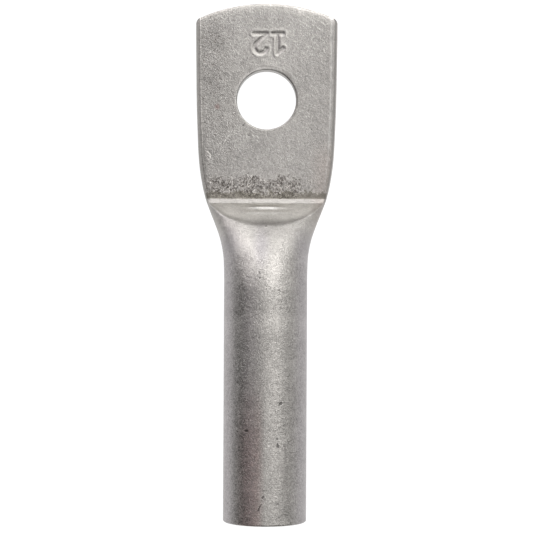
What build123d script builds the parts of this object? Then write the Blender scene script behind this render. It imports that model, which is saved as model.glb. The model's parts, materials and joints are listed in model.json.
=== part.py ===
from build123d import *

import os
from dataclasses import dataclass
from math import cos, radians, sin, sqrt, tan

# A cable lug pressed from one length of aluminium tube. All sizes are in millimetres.
# The origin is the centre of the stud hole on the contact face. The palm lies on Z = 0,
# its sheared tip points along +Y and the barrel opens along -Y.

# Conductor barrel: the end of the tube that keeps its round section.
conductor_bore = 13.0
tube_wall = 2.5
barrel_length = 50.0
barrel_lift = 0.2
mouth_rounding = 0.4
bore_chamfer = 0.5

# Palm: the end that is pressed flat, punched and sheared.
palm_length = 42.6
palm_width = 31.2
palm_thickness = 4.0
fold_swell = 0.85
stud_hole = 13.0
hole_to_tip = 21.0
hole_roll_over = 0.35
tip_radius = 36.0
tip_corner_radius = 1.6

# Shoulder: where the flat palm opens out into the round barrel.
shoulder_length = 20.0
step_band = 1.05
step_band_slope = 28.0
shoulder_slope = 54.0

# Seam between the two tube walls, which shows as a fine slit on the sheared tip.
seam_gap = 0.15
seam_depth = 0.5

# How far the tube spreads sideways, from 0 at the barrel's radius to 1 at half the palm's
# width, against the share of the palm or of the shoulder between there and the step.
spread_along_palm = ((1.07, 1.0), (0.72, 0.989), (0.36, 0.938), (0.148, 0.848), (0.0, 0.66))
spread_along_shoulder = ((0.15, 0.49), (0.285, 0.325), (0.45, 0.147), (0.62, 0.04), (0.8, 0.004), (1.0, 0.0))

# How far the tube is open, from 0 where it is pressed flat to 1 where it is round.
opening_along_palm = ((1.07, 0.0), (0.0, 0.0))
opening_along_shoulder = (
    (0.15, 0.119),
    (0.285, 0.332),
    (0.45, 0.6),
    (0.62, 0.8),
    (0.8, 0.935),
    (0.9, 0.98),
    (1.0, 1.0),
)

# Sections of the lofts, and allowances where a cutter has to run past the lug.
outside_section_count = 40
bore_section_count = 16
cutter_margin = 5.0
outline_margin = 0.05

barrel_radius = conductor_bore / 2 + tube_wall
barrel_axis_z = barrel_lift + barrel_radius
tip_y = hole_to_tip
step_y = tip_y - palm_length
barrel_start_y = step_y - shoulder_length
mouth_y = barrel_start_y - barrel_length
cutter_half_width = palm_width / 2 + cutter_margin
cutter_top = 2 * barrel_axis_z + cutter_margin


def between(start, end, share):
    """The value a share of the way from start to end."""
    return start + share * (end - start)


class Rail:
    """A smooth line along the lug that a size follows, through a few chosen values."""

    def __init__(self, along_palm, along_shoulder):
        """Places each value by its share of the way from the step to the tip or barrel."""
        palm = [(between(step_y, tip_y, share), value) for share, value in along_palm]
        shoulder = [(between(step_y, barrel_start_y, share), value) for share, value in along_shoulder]
        self.points = sorted(palm + shoulder)

    def rise(self, index):
        """Slope of the straight line from one point to the next."""
        (y, value), (next_y, next_value) = self.points[index : index + 2]
        return (next_value - value) / (next_y - y)

    def slope(self, index):
        """Slope at a point: level at both ends and where the line would turn back."""
        if index in (0, len(self.points) - 1):
            return 0.0
        before = self.rise(index - 1)
        after = self.rise(index)
        return (before + after) / 2 if before * after > 0 else 0.0

    def at(self, y):
        """Value of the cubic that joins the two points on either side of y."""
        last = len(self.points) - 2
        index = max(k for k in range(last + 1) if k == 0 or self.points[k][0] <= y)
        (start_y, start), (end_y, end) = self.points[index : index + 2]
        span = end_y - start_y
        t = (y - start_y) / span
        bend = (1 - t) * self.slope(index) - t * self.slope(index + 1)
        return between(start, end, t * t * (3 - 2 * t)) + t * (1 - t) * span * bend


@dataclass(frozen=True)
class Section:
    """An oval across the tube: a half ellipse above its widest line and one below it."""

    y: float
    half_width: float
    widest_z: float
    top_z: float
    bottom_z: float

    def inside(self, wall):
        """The oval of the bore, one wall in from this one."""
        return Section(
            self.y,
            self.half_width - wall,
            self.widest_z,
            self.top_z - wall,
            self.bottom_z + wall,
        )

    def face(self):
        """The oval as a face standing across the tube."""
        centre = (0, self.widest_z)
        above = self.top_z - self.widest_z
        below = self.widest_z - self.bottom_z
        upper = EllipticalCenterArc(centre, self.half_width, above, 0, arc_size=180)
        lower = EllipticalCenterArc(centre, self.half_width, below, 180, arc_size=180)
        return Plane.XZ.offset(-self.y) * make_face([upper, lower])


spread = Rail(spread_along_palm, spread_along_shoulder)
opening = Rail(opening_along_palm, opening_along_shoulder)


def section_at(y):
    """Oval of the tube before the dies meet it.

    Where it is pressed flat, its height is the one that leaves the folds at the sides
    standing out past the flat faces by the fold's swell.
    """
    half_width = between(barrel_radius, palm_width / 2, spread.at(y))
    face_share = (half_width - fold_swell) / half_width
    half_height = palm_thickness / 2 / sqrt(1 - face_share**2)
    middle_z = palm_thickness / 2
    open_share = opening.at(y)
    return Section(
        y,
        half_width,
        between(middle_z, barrel_axis_z, open_share),
        between(middle_z + half_height, barrel_axis_z + barrel_radius, open_share),
        between(middle_z - half_height, barrel_axis_z - barrel_radius, open_share),
    )


def sections_between(start_y, end_y, count):
    """Evenly spaced ovals from one place along the tube to another."""
    return [section_at(between(start_y, end_y, k / (count - 1))) for k in range(count)]


def barrel_cylinder(radius):
    """Round length of the tube, from its mouth to where the shoulder begins."""
    mouth = Plane((0, mouth_y, barrel_axis_z), x_dir=(1, 0, 0), z_dir=(0, 1, 0))
    return extrude(mouth * Circle(radius), barrel_length)


def side_prism(points):
    """Block across the whole lug whose side view, in Y and Z, has these corners."""
    outline = make_face(Polyline(*points, close=True))
    return extrude(Plane.YZ * outline, cutter_half_width, both=True)


def anvil():
    """Flat die under the lug, which gives it the contact face."""
    low_z = -barrel_radius - cutter_margin
    far_y = tip_y + cutter_margin
    return side_prism([(mouth_y, 0), (far_y, 0), (far_y, low_z), (mouth_y, low_z)])


def shoulder_root():
    """Where the narrow band above the palm meets the sloping face, in Y and Z."""
    return step_y - step_band, palm_thickness + step_band * tan(radians(step_band_slope))


def up_the_slope(y, z, top_z):
    """Point at the given height on the sloping line through y and z."""
    return y - (top_z - z) / tan(radians(shoulder_slope)), top_z


def punch():
    """Upper die: it presses the palm's front face, the band and the sloping face."""
    root = shoulder_root()
    far_y = tip_y + cutter_margin
    return side_prism(
        [
            (far_y, palm_thickness),
            (step_y, palm_thickness),
            root,
            up_the_slope(*root, cutter_top),
            (far_y, cutter_top),
        ]
    )


def cavity_roof():
    """Metal over the bore in the shoulder, one wall thick under the sloping face."""
    root_y, root_z = shoulder_root()
    inner_y = root_y - tube_wall * sin(radians(shoulder_slope))
    inner_z = root_z - tube_wall * cos(radians(shoulder_slope))
    return side_prism(
        [
            up_the_slope(inner_y, inner_z, tube_wall),
            up_the_slope(inner_y, inner_z, cutter_top),
            (tip_y, cutter_top),
            (tip_y, tube_wall),
        ]
    )


def cavity_floor():
    """Lower wall of the flattened tube, as thick as the tube's own wall."""
    return side_prism(
        [(mouth_y, tube_wall), (tip_y, tube_wall), (tip_y, -cutter_top), (mouth_y, -cutter_top)]
    )


def pressed_tube():
    """Outside of the lug, solid, before its tip is sheared."""
    past_tip_y = between(step_y, tip_y, spread_along_palm[0][0])
    sections = sections_between(barrel_start_y, past_tip_y, outside_section_count)
    body = loft([section.face() for section in sections])
    return body + barrel_cylinder(barrel_radius) - anvil() - punch()


def bore():
    """Inside of the lug: the round bore, then a cavity that narrows to a closed slit."""
    sections = sections_between(barrel_start_y, step_y, bore_section_count)
    cavity = loft([section.inside(tube_wall).face() for section in sections])
    cavity = cavity - cavity_floor() - cavity_roof()
    return cavity + barrel_cylinder(conductor_bore / 2)


def tip_plan(end_y):
    """Plan of the lug up to a sheared end: a shallow arc with two rounded corners."""
    half_width = palm_width / 2 + outline_margin
    corner_y = end_y - tip_radius + sqrt(tip_radius**2 - half_width**2)
    back_y = mouth_y - cutter_margin
    arc = ThreePointArc((half_width, corner_y), (0, end_y), (-half_width, corner_y))
    sides = Polyline(
        (-half_width, corner_y),
        (-half_width, back_y),
        (half_width, back_y),
        (half_width, corner_y),
    )
    plan = make_face([arc, sides])
    corners = plan.vertices().group_by(Axis.Y)[-1]
    return fillet(corners, tip_corner_radius)


def upright(plan):
    """A plan carried up through the whole height of the lug."""
    return extrude(plan, cutter_top, both=True)


def tip_seam():
    """Fine slit at half thickness between the two walls, open at the sheared tip only."""
    width = palm_width - 2 * tube_wall
    slit = Pos(0, tip_y, palm_thickness / 2) * Box(width, 2 * cutter_margin, seam_gap)
    return slit - upright(tip_plan(tip_y - seam_depth))


def punched_hole():
    """Stud hole, with the edge on the punch's side rolled over."""
    radius = stud_hole / 2
    rolled_radius = radius + hole_roll_over
    wall_top = palm_thickness - hole_roll_over
    low_z = -cutter_margin
    sides = Polyline(
        (rolled_radius, palm_thickness),
        (rolled_radius, cutter_top),
        (0, cutter_top),
        (0, low_z),
        (radius, low_z),
        (radius, wall_top),
    )
    rolled_edge = TangentArc((radius, wall_top), (rolled_radius, palm_thickness), tangent=(0, 1))
    return revolve(Plane.XZ * make_face([sides, rolled_edge]), Axis.Z)


def soften_mouth(lug):
    """Rounds the barrel's outer edge and chamfers the bore at the mouth."""
    outer_edge = lug.edges().group_by(Axis.Y)[0].sort_by(SortBy.RADIUS)[-1]
    lug = fillet(outer_edge, mouth_rounding)
    bore_edge = lug.edges().group_by(Axis.Y)[0].sort_by(SortBy.RADIUS)[0]
    return chamfer(bore_edge, bore_chamfer)


def cable_lug():
    """The whole lug as one solid."""
    lug = pressed_tube() & upright(tip_plan(tip_y))
    lug = lug - bore() - punched_hole() - tip_seam()
    return soften_mouth(lug)


os.makedirs("parts", exist_ok=True)
export_step(cable_lug(), "parts/cable_lug.step")
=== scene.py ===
import json
import logging
import math
from dataclasses import dataclass, field
from enum import Enum

import bmesh
import bpy
import numpy as np
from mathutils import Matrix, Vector, noise


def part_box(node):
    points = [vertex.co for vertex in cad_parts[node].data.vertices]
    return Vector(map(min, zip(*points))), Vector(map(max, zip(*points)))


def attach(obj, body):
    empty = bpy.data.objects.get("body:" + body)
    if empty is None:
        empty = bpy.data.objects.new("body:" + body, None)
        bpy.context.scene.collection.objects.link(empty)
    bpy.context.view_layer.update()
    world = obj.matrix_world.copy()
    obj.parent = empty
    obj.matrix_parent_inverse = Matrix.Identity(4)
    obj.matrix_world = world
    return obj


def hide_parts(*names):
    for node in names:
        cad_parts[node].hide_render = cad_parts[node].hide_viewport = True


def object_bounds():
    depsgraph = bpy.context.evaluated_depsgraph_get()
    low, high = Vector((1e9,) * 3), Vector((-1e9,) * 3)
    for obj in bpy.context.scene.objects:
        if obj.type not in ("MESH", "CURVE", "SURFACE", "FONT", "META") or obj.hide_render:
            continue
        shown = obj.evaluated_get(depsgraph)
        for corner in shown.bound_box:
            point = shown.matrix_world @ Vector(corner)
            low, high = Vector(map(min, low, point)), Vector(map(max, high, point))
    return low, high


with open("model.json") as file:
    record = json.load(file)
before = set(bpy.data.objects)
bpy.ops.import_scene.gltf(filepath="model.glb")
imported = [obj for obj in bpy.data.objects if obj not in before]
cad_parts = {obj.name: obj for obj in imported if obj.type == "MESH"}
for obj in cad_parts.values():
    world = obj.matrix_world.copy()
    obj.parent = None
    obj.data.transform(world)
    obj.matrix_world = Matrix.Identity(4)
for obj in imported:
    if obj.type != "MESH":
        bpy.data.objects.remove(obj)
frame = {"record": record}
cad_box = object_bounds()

LOG = logging.getLogger("cable_lug")
MILLIMETRE = 0.001
MARK_EDGE = (1.05, 0.55)

Number = "Signal | float"
Array = np.ndarray
Values = Array | float


def between(start: Values, end: Values, share: Values) -> Values:
    """The value a share of the way from start to end."""
    return start + share * (end - start)


def past(start: float, end: float, count: int) -> Array:
    """Evenly spaced values after start, up to and with end."""
    return np.linspace(start, end, count + 1)[1:]


def s_curve(t: Values) -> Values:
    """A smooth step from 0 at 0 to 1 at 1."""
    return t * t * (3.0 - 2.0 * t)


def eased(low: float, high: float, value: Array) -> Array:
    """A smooth step from 0 at low to 1 at high, which may be given in falling order."""
    return s_curve(np.clip((value - low) / (high - low), 0.0, 1.0))


def hump(value: Array, centre: Values, width: Values) -> Array:
    """A bell curve, 1 at its centre, with the given width to either side."""
    return np.exp(-(((value - centre) / width) ** 2))


def soft_ramp(value: Array, softness: float) -> Array:
    """The value where it is positive and 0 elsewhere, with the corner rounded off."""
    rounded = (value + softness) ** 2 / (4.0 * softness)
    return np.where(value < -softness, 0.0, np.where(value > softness, value, rounded))


def soft_minimum(first: Array, second: Array, softness: float) -> Array:
    """The smaller of two heights, with the crease between them rounded off."""
    return first - soft_ramp(first - second, softness)


def placed(name: str, data: bpy.types.ID) -> bpy.types.Object:
    """A new object in the scene, made of the given data."""
    thing = bpy.data.objects.new(name, data)
    bpy.context.scene.collection.objects.link(thing)
    return thing


@dataclass(frozen=True)
class LugSizes:
    """Driving sizes of the lug in millimetres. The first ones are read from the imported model."""

    hole_radius: float
    palm_thickness: float
    bore_radius: float
    axis_z: float
    top_z: float
    tip_y: float
    mouth_y: float
    palm_length: float = 42.6
    palm_half_width: float = 15.6
    fold_swell: float = 0.85
    fold_swell_at_step: float = 0.5
    shoulder_length: float = 20.0
    step_band: float = 1.05
    step_band_slope: float = 28.0
    shoulder_slope: float = 54.0
    tip_radius: float = 36.0
    tip_corner_radius: float = 1.6
    outline_margin: float = 0.05
    hole_roll_over: float = 0.35
    mouth_rounding: float = 0.4
    bore_chamfer: float = 0.5
    seam_half_gap: float = 0.075
    seam_depth: float = 0.5

    @classmethod
    def from_frame(cls, record: dict, low: Vector, high: Vector) -> "LugSizes":
        """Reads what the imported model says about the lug.

        Args:
            record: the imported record, with the mounts of the stud hole and the socket.
            low: lowest corner of the CAD box in metres.
            high: highest corner of the CAD box in metres.

        Returns:
            The sizes in millimetres.
        """
        mounts = {mount["name"]: mount for mount in record["mounts"]}
        return cls(
            hole_radius=mounts["stud_hole"]["dims"]["r_mm"],
            palm_thickness=mounts["washer_face"]["pos_m"][2] / MILLIMETRE,
            bore_radius=mounts["cable_socket"]["dims"]["r_mm"],
            axis_z=mounts["cable_socket"]["pos_m"][2] / MILLIMETRE,
            top_z=high.z / MILLIMETRE,
            tip_y=high.y / MILLIMETRE,
            mouth_y=low.y / MILLIMETRE,
        )

    @property
    def barrel_radius(self) -> float:
        """Outer radius of the barrel."""
        return self.top_z - self.axis_z

    @property
    def wall(self) -> float:
        """Thickness of the tube's wall."""
        return self.barrel_radius - self.bore_radius

    @property
    def step_y(self) -> float:
        """Where the palm's front face meets the step."""
        return self.tip_y - self.palm_length

    @property
    def root_y(self) -> float:
        """Where the narrow band meets the sloping face."""
        return self.step_y - self.step_band

    @property
    def barrel_start_y(self) -> float:
        """Where the shoulder has become a round tube."""
        return self.step_y - self.shoulder_length


class Rail:
    """A smooth line along the lug that a size follows, through a few chosen values."""

    def __init__(self, sizes: LugSizes, along_palm: tuple, along_shoulder: tuple) -> None:
        """Places the values between the step and the tip or the barrel.

        Args:
            sizes: driving sizes of the lug.
            along_palm: pairs of a share of the palm and the value there.
            along_shoulder: pairs of a share of the shoulder and the value there.
        """
        stretches = ((sizes.tip_y, along_palm), (sizes.barrel_start_y, along_shoulder))
        points = sorted(
            (between(sizes.step_y, end, share), value) for end, pairs in stretches for share, value in pairs
        )
        self.places = np.array([place for place, _ in points])
        self.values = np.array([value for _, value in points])
        rises = np.diff(self.values) / np.diff(self.places)
        inner = np.where(rises[:-1] * rises[1:] > 0.0, (rises[:-1] + rises[1:]) / 2.0, 0.0)
        self.slopes = np.concatenate(([0.0], inner, [0.0]))

    def at(self, y: Array) -> Array:
        """Value of the cubic that joins the two points on either side of each place."""
        y = np.clip(y, self.places[0], self.places[-1])
        index = np.clip(np.searchsorted(self.places, y, side="right") - 1, 0, len(self.places) - 2)
        span = self.places[index + 1] - self.places[index]
        t = (y - self.places[index]) / span
        bend = (1.0 - t) * self.slopes[index] - t * self.slopes[index + 1]
        level = between(self.values[index], self.values[index + 1], s_curve(t))
        return level + t * (1.0 - t) * span * bend


@dataclass(frozen=True)
class RingPlan:
    """How the points of one ring round the tube are spread over its front, back and sides."""

    fine_half_width: float = 4.5
    fine_step: float = 0.17
    coarse_step: float = 0.46
    palm_reach: float = 14.7
    edge_steps: tuple = (0.06, 0.14, 0.26, 0.42)
    side_points: int = 26
    side_crowding: float = 0.6

    @property
    def palm_shares(self) -> Array:
        """Places of the columns over the palm, from -1 to 1, closest together under the stamp."""
        fine = np.arange(0.0, self.fine_half_width, self.fine_step)
        far = self.palm_reach - self.edge_steps[-1]
        coarse_count = int((far - self.fine_half_width) / self.coarse_step)
        coarse = np.linspace(self.fine_half_width, far, coarse_count)
        edge = self.palm_reach - np.array(self.edge_steps[-2::-1])
        half = np.concatenate((fine, coarse, edge, [self.palm_reach])) / self.palm_reach
        return np.concatenate((-half[:0:-1], half))

    @property
    def even_shares(self) -> Array:
        """Evenly spread places of the same columns, for the round barrel."""
        return np.linspace(-1.0, 1.0, self.columns)

    @property
    def side_shares(self) -> Array:
        """Places of the points down one side, closer together towards both corners."""
        t = np.arange(1, self.side_points + 1) / (self.side_points + 1)
        return between(t, 0.5 - 0.5 * np.cos(math.pi * t), self.side_crowding)

    @property
    def columns(self) -> int:
        """Points across the front, and as many across the back."""
        return len(self.palm_shares)

    @property
    def points(self) -> int:
        """Points of the whole ring."""
        return 2 * (self.columns + self.side_points)

    @property
    def starts(self) -> tuple:
        """Where the right side, the back and the left side start, after the front."""
        right = self.columns
        back = right + self.side_points
        return right, back, back + self.columns


@dataclass(frozen=True)
class PressedTube:
    """The outside or the inside of the tube: an oval section, flattened by dies above and below.

    The pairs of full_from and full_until are distances behind the step, between which the oval's upper
    half gets fuller than an ellipse and becomes one again.
    """

    sizes: LugSizes
    plan: RingPlan
    inset: float = 0.0
    edge_softness: float = 0.13
    crease_softness: float = 0.12
    fullness: float = 0.55
    full_from: tuple = (0.3, 3.3)
    full_until: tuple = (14.0, 5.5)
    less_swell_ahead: float = 3.0
    less_swell_behind: float = 2.0
    corner_limit: float = math.radians(55.0)
    spread_along_palm: tuple = ((1.07, 1.0), (0.72, 0.989), (0.36, 0.938), (0.148, 0.848), (0.0, 0.66))
    spread_along_shoulder: tuple = (
        (0.15, 0.49), (0.285, 0.325), (0.45, 0.147), (0.62, 0.04), (0.8, 0.004), (1.0, 0.0),
    )
    opening_along_palm: tuple = ((1.07, 0.0), (0.0, 0.0))
    opening_along_shoulder: tuple = (
        (0.0525, 0.065), (0.1, 0.125), (0.165, 0.222), (0.23, 0.3), (0.285, 0.368), (0.36, 0.468),
        (0.45, 0.59), (0.62, 0.795), (0.8, 0.935), (0.9, 0.98), (1.0, 1.0),
    )

    def oval(self, y: Array) -> tuple:
        """Size of the oval section before the dies meet it.

        Args:
            y: places along the tube.

        Returns:
            Half width, height of the widest line, top and bottom.
        """
        sizes = self.sizes
        spread = Rail(sizes, self.spread_along_palm, self.spread_along_shoulder).at(y)
        opening = Rail(sizes, self.opening_along_palm, self.opening_along_shoulder).at(y)
        half_width = between(sizes.barrel_radius, sizes.palm_half_width, spread)
        ahead = eased(sizes.step_y + self.less_swell_ahead, sizes.step_y, y)
        behind = eased(sizes.root_y - self.less_swell_behind, sizes.root_y, y)
        swell = between(sizes.fold_swell, sizes.fold_swell_at_step, ahead * behind)
        face_share = (half_width - swell) / half_width
        half_height = sizes.palm_thickness / 2.0 / np.sqrt(1.0 - face_share**2)
        middle = sizes.palm_thickness / 2.0
        widest = between(middle, sizes.axis_z, opening)
        top = between(middle + half_height, sizes.top_z, opening)
        bottom = between(middle - half_height, sizes.axis_z - sizes.barrel_radius, opening)
        return half_width - self.inset, widest, top - self.inset, bottom + self.inset

    def arch(self, across: Array, y: Array) -> Array:
        """Height of the oval's upper half, from 1 at its middle to 0 at its sides.

        Args:
            across: places across the oval, from -1 to 1.
            y: places along the tube. The arch is fuller than an ellipse in the shoulder.

        Returns:
            Shares of the way from the widest line to the top.
        """
        start, end = (
            eased(self.sizes.step_y - low, self.sizes.step_y - high, y)
            for low, high in (self.full_from, self.full_until)
        )
        power = 2.0 + self.fullness * start * end
        return np.maximum(1.0 - np.abs(across) ** power, 0.0) ** (1.0 / power)

    def roof(self, y: Array) -> Array:
        """Height of the upper die: the palm's front face, the narrow band and the sloping face."""
        sizes = self.sizes
        band = math.tan(math.radians(sizes.step_band_slope))
        slope = math.tan(math.radians(sizes.shoulder_slope))
        start = sizes.root_y - self.inset / math.sin(math.radians(sizes.shoulder_slope))
        if self.inset:
            return sizes.palm_thickness + band * sizes.step_band + slope * (start - y)
        low = sizes.palm_thickness + band * soft_ramp(sizes.step_y - y, self.edge_softness)
        return low + (slope - band) * soft_ramp(sizes.root_y - y, self.edge_softness)

    def corner_angle(self, height: Array, oval: tuple) -> Array:
        """Angle up the oval at which it reaches a height, negative below the widest line."""
        _, widest, top, bottom = oval
        reach = np.where(height > widest, top - widest, widest - bottom)
        return np.arcsin(np.clip((height - widest) / reach, -1.0, 1.0))

    def rings(self, y: Array) -> Array:
        """Points of whole rings.

        Args:
            y: place of each point along the tube, one row for each ring.

        Returns:
            X, Y and Z of each point, in an array with one more axis.
        """
        sizes, plan = self.sizes, self.plan
        oval = self.oval(y)
        half_width, widest, top, bottom = oval
        floor = np.full_like(y, self.inset)
        roof = np.maximum(self.roof(y), floor) if self.inset else self.roof(y)
        upper = np.minimum(self.corner_angle(roof, oval), self.corner_limit)
        lower = np.maximum(self.corner_angle(floor, oval), -self.corner_limit)
        roundness = eased(sizes.step_y, sizes.barrel_start_y, y[:, : plan.columns])
        across = between(plan.palm_shares, plan.even_shares, roundness)
        right, back, left = plan.starts
        x, above = np.empty_like(y), np.zeros_like(y, dtype=bool)
        x[:, :right] = across * (half_width * np.cos(upper))[:, :right]
        above[:, :right] = True
        x[:, back:left] = -across * (half_width * np.cos(lower))[:, back:left]
        sides = ((slice(right, back), 1.0, upper, lower), (slice(left, plan.points), -1.0, lower, upper))
        for side, sign, start, end in sides:
            angle = between(start[:, side], end[:, side], plan.side_shares)
            x[:, side] = sign * half_width[:, side] * np.cos(angle)
            above[:, side] = angle > 0.0
        height = np.sqrt(np.maximum(1.0 - (x / half_width) ** 2, 0.0))
        arched = self.arch(x / half_width, y)
        z = np.where(above, widest + (top - widest) * arched, widest - (widest - bottom) * height)
        in_crease = eased(sizes.step_y + 1.0, sizes.step_y - 5.0, y)
        softness = between(self.edge_softness, self.crease_softness, in_crease)
        z = np.where(above, soft_minimum(z, roof, softness), z)
        z = -soft_minimum(-z, -floor, self.edge_softness)
        return np.stack((x, y, z), axis=-1)


class SheetOfQuads:
    """Vertices and faces that are collected from several patches into one closed mesh."""

    def __init__(self) -> None:
        """Starts with nothing in it."""
        self.points: list[Array] = []
        self.faces: list[Array] = []
        self.kinds: list[Array] = []
        self.count = 0

    def add_points(self, points: Array, kind: int) -> Array:
        """Adds points and returns their numbers, in the same arrangement."""
        flat = points.reshape(-1, 3)
        numbers = np.arange(self.count, self.count + len(flat)).reshape(points.shape[:-1])
        self.points.append(flat)
        self.kinds.append(np.full(len(flat), kind))
        self.count += len(flat)
        return numbers

    def join_rows(self, rows: Array, closed: bool, keep: Array | None = None) -> None:
        """Lays quads between neighbouring rows of numbers.

        Args:
            rows: vertex numbers, one row for each line of points.
            closed: whether each row joins up with its own start.
            keep: for each quad whether it is laid, or None for all of them.
        """
        following = np.roll(rows, -1, axis=1) if closed else rows[:, 1:]
        current = rows if closed else rows[:, :-1]
        quads = np.stack((current[:-1], following[:-1], following[1:], current[1:]), axis=-1)
        self.faces.append(quads[keep] if keep is not None else quads.reshape(-1, 4))

    def build(self, name: str, merge_distance: float) -> bpy.types.Mesh:
        """Makes a Blender mesh in metres.

        Args:
            name: name of the mesh.
            merge_distance: points closer than this, in millimetres, become one.

        Returns:
            The mesh.
        """
        mesh = bpy.data.meshes.new(name)
        mesh.from_pydata(np.concatenate(self.points).tolist(), [], np.concatenate(self.faces).tolist())
        kind = mesh.attributes.new("surface", "INT", "POINT")
        kind.data.foreach_set("value", np.concatenate(self.kinds).astype(np.int32))
        work = bmesh.new()
        work.from_mesh(mesh)
        bmesh.ops.remove_doubles(work, verts=work.verts, dist=merge_distance)
        bmesh.ops.dissolve_degenerate(work, edges=work.edges, dist=merge_distance / 10.0)
        bmesh.ops.recalc_face_normals(work, faces=work.faces)
        loose = [vertex for vertex in work.verts if not vertex.link_faces]
        bmesh.ops.delete(work, geom=loose, context="VERTS")
        work.to_mesh(mesh)
        work.free()
        return mesh


class Surface(Enum):
    """Which part of the lug a vertex belongs to."""

    OUTSIDE = 0
    HOLE_WALL = 1
    TIP = 2
    MOUTH = 3
    INSIDE = 4


@dataclass(frozen=True)
class Stroke:
    """One stroke of a stamped digit: a line through points in millimetres on the palm."""

    points: tuple

    def distance(self, x: Array, y: Array) -> Array:
        """Distance of each place from the stroke's centre line."""
        nearest = np.full(x.shape, np.inf)
        for (ax, ay), (bx, by) in zip(self.points, self.points[1:]):
            length = (bx - ax) ** 2 + (by - ay) ** 2
            t = np.clip(((x - ax) * (bx - ax) + (y - ay) * (by - ay)) / length, 0.0, 1.0)
            nearest = np.minimum(nearest, np.hypot(x - ax - t * (bx - ax), y - ay - t * (by - ay)))
        return nearest


@dataclass(frozen=True)
class FineLine:
    """The cross-section of a fine line: where it runs, its width to either side and its strength."""

    place: float
    width: float
    strength: float

    def at(self, value: Array) -> Array:
        """Strength of the line at each distance from what it follows."""
        return self.strength * hump(value, self.place, self.width)


@dataclass(frozen=True)
class StudSizeStamp:
    """The stamped number 12 above the hole: the stud's size, upside down as the press left it."""

    centre_x: float = 0.3
    centre_y: float = 12.3
    digit_height: float = 4.3
    bowl: float = 1.3
    bowl_start: float = math.radians(165.0)
    bowl_end: float = math.radians(-40.0)
    base_overhang: float = 0.1
    two_x: float = 1.7
    one_x: float = -2.1
    serif: float = 1.1
    stroke_width: float = 0.95
    wall_top: float = 0.1
    wall_foot: float = -0.4
    depth: float = 0.22
    lip: FineLine = FineLine(0.3, 0.26, 0.07)
    arc_segments: int = 14

    def strokes(self) -> list[Stroke]:
        """The centre lines of the two digits."""
        tall = self.digit_height / 2.0
        arc = [
            (self.two_x + self.bowl * math.cos(angle), tall - self.bowl + self.bowl * math.sin(angle))
            for angle in np.linspace(self.bowl_start, self.bowl_end, self.arc_segments)
        ]
        two = arc + [(self.two_x - self.bowl, -tall), (self.two_x + self.bowl + self.base_overhang, -tall)]
        one = [(self.one_x - self.serif, tall - self.serif), (self.one_x, tall), (self.one_x, -tall)]
        foot = [(self.one_x - self.serif, -tall), (self.one_x + self.serif, -tall)]
        return [Stroke(tuple(self.turned(*point) for point in line)) for line in (one, foot, two)]

    def turned(self, x: float, y: float) -> tuple:
        """A point of the upright number, turned by half a turn and put in place."""
        return self.centre_x - x, self.centre_y - y

    def distance(self, x: Array, y: Array) -> Array:
        """Distance of each place from the nearest stroke's edge, negative inside the stroke."""
        return np.min([stroke.distance(x, y) for stroke in self.strokes()], axis=0) - self.stroke_width / 2.0

    def recess(self, x: Array, y: Array) -> Array:
        """1 where a stroke is at its deepest, and 0 outside it."""
        return eased(self.wall_top, self.wall_foot, self.distance(x, y))

    def relief(self, x: Array, y: Array) -> Array:
        """Height that the stamp adds to the palm: negative in the strokes, a low lip round them."""
        return self.lip.at(self.distance(x, y)) - self.depth * self.recess(x, y)


@dataclass(frozen=True)
class Dent:
    """A round dent in the front, in millimetres."""

    x: float
    y: float
    radius: float
    depth: float

    def relief(self, x: Array, y: Array) -> Array:
        """Depth of the dent at each place, as a negative height."""
        return -self.depth * np.exp(-((x - self.x) ** 2 + (y - self.y) ** 2) / self.radius**2)


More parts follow.
